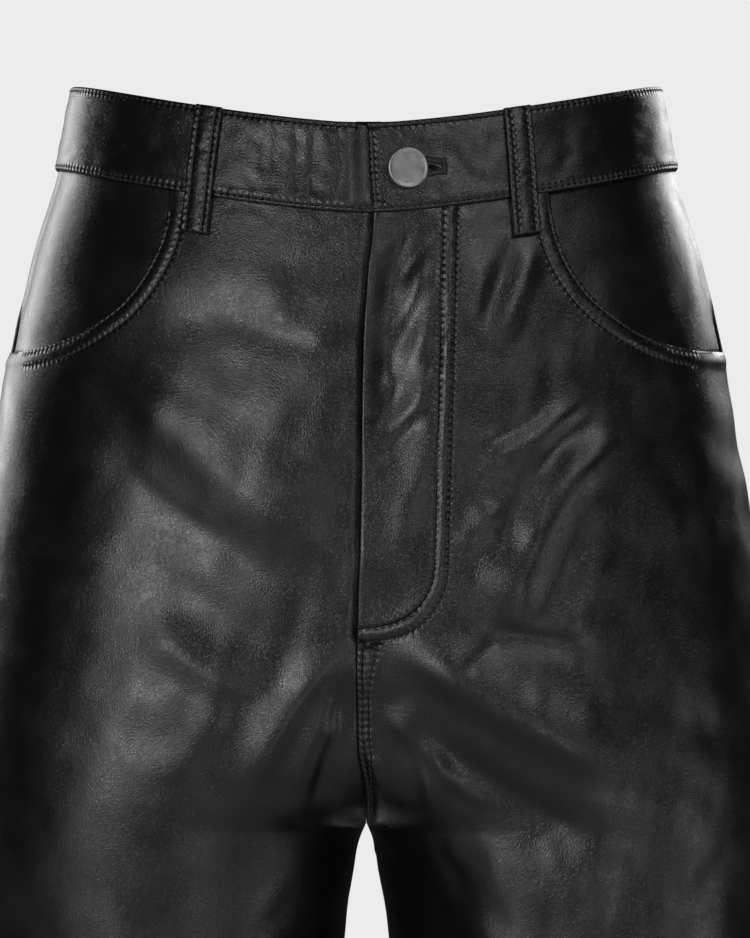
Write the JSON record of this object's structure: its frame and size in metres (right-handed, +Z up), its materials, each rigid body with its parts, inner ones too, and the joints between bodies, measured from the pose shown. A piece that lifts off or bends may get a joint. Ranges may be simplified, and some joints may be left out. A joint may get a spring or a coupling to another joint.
{
  "type": "leather trousers",
  "caption": "High-rise straight-leg leather trousers in worn shape: a hollow shell with waistband, belt loops, scoop pockets, zip fly and shank button.",
  "frame": {"origin": "the middle of the waist opening, level with the button", "axes": "+Z up along the body, the front faces -Y, the wearer's left side is +X"},
  "size_m": [0.356, 0.2456, 1.0797],
  "materials": {
    "leather": "black nappa with a fine pebble grain and a soft sheen",
    "pewter": "satin pewter",
    "zip": "black woven tape with a dark chain"
  },
  "bodies": {
    "root": {"front_left": "leather", "front_right": "leather", "back_left": "leather", "back_right": "leather", "yoke_left": "leather", "yoke_right": "leather", "pocket_facing_left": "leather", "pocket_facing_right": "leather", "waistband_left": "leather", "waistband_right": "leather", "belt_loop_front_left": "leather", "belt_loop_front_right": "leather", "belt_loop_back_left": "leather", "belt_loop_back_right": "leather", "belt_loop_centre_back": "leather", "button": "pewter", "button_tack": "pewter", "fly_zip": "zip", "zip_slider": "pewter"}
  },
  "joints": []
}
